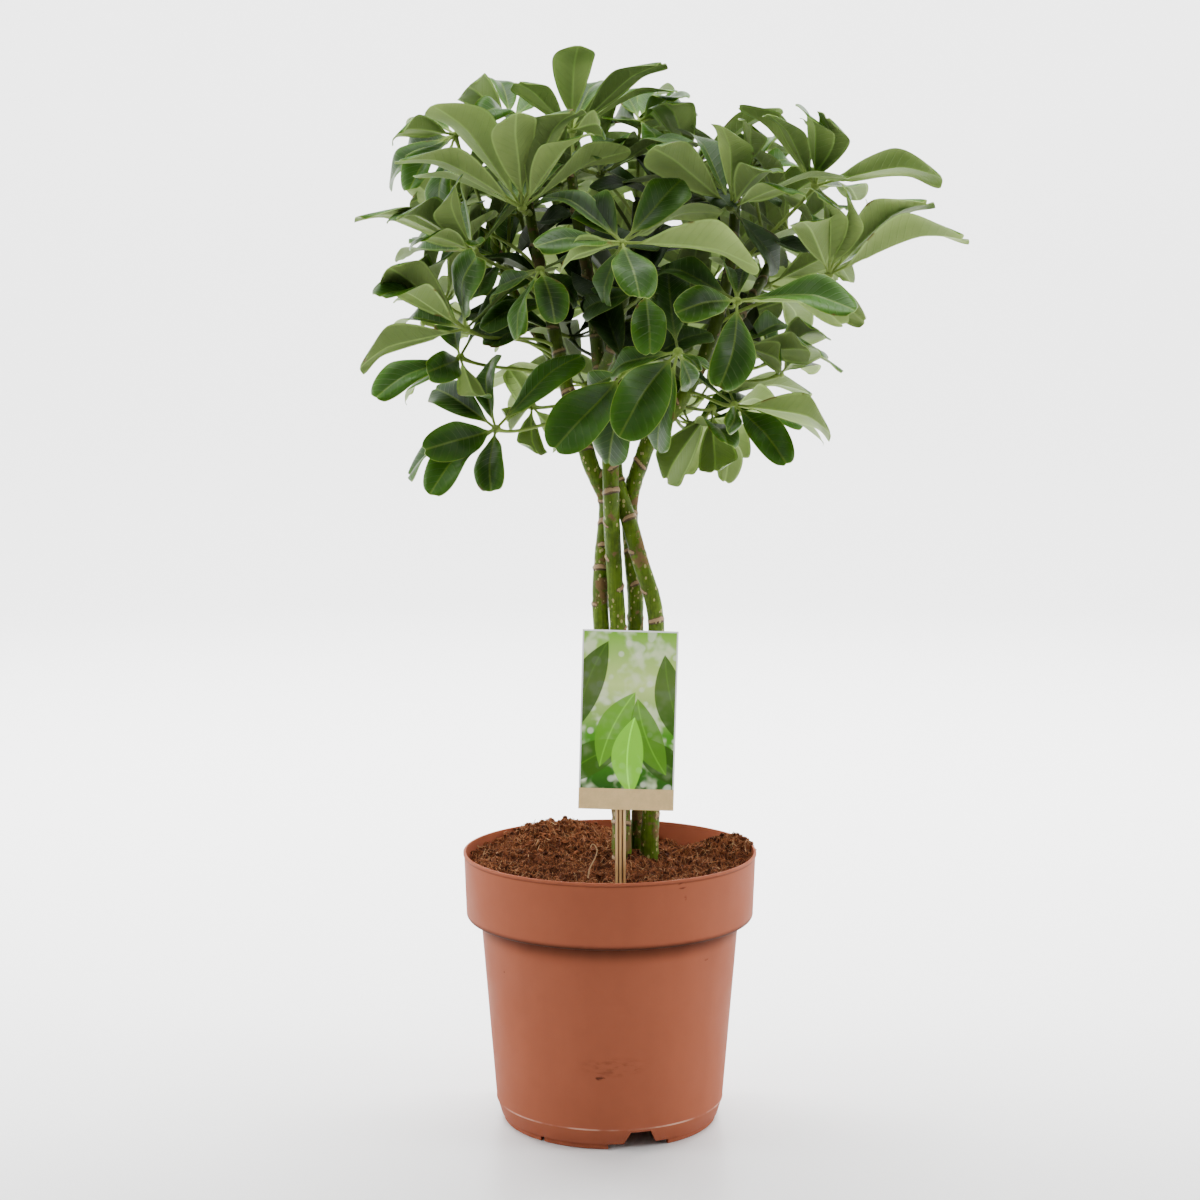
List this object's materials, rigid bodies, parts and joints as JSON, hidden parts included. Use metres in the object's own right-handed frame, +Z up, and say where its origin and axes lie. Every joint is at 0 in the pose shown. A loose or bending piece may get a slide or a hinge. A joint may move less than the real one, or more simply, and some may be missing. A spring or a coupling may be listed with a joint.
{
  "type": "potted umbrella plant",
  "caption": "Umbrella plant with braided green stems and a round crown of palmate leaves, in a stepped terracotta-coloured plastic pot of coir soil, with a plant label.",
  "frame": {"origin": "on the surface that the pot stands on, under the middle of the whole plant's box", "axes": "+Z up, -Y towards the front that the label faces, +X to the right of it"},
  "size_m": [0.3684, 0.3872, 0.6813],
  "materials": {
    "pot": "satin",
    "soil": "matte",
    "stem": "satin",
    "leaf": "satin",
    "card": "satin",
    "stake": "satin"
  },
  "bodies": {
    "root": {"pot": "pot", "soil": "soil", "label_card": "card", "label_stake": "stake", "stem_1": "stem", "stem_2": "stem", "stem_3": "stem", "stem_4": "stem", "leaf_01": "leaf", "leaf_02": "leaf", "leaf_03": "leaf", "leaf_04": "leaf", "leaf_05": "leaf", "leaf_06": "leaf", "leaf_07": "leaf", "leaf_08": "leaf", "leaf_09": "leaf", "leaf_10": "leaf", "leaf_11": "leaf", "leaf_12": "leaf", "leaf_13": "leaf", "leaf_14": "leaf", "leaf_15": "leaf", "leaf_16": "leaf", "leaf_17": "leaf", "leaf_18": "leaf", "leaf_19": "leaf", "leaf_20": "leaf", "leaf_21": "leaf", "leaf_22": "leaf", "leaf_23": "leaf", "leaf_24": "leaf", "leaf_25": "leaf", "leaf_26": "leaf", "leaf_27": "leaf", "leaf_28": "leaf", "leaf_29": "leaf", "leaf_30": "leaf", "leaf_31": "leaf", "leaf_32": "leaf", "leaf_33": "leaf", "leaf_34": "leaf", "leaf_35": "leaf", "leaf_36": "leaf"}
  },
  "joints": []
}
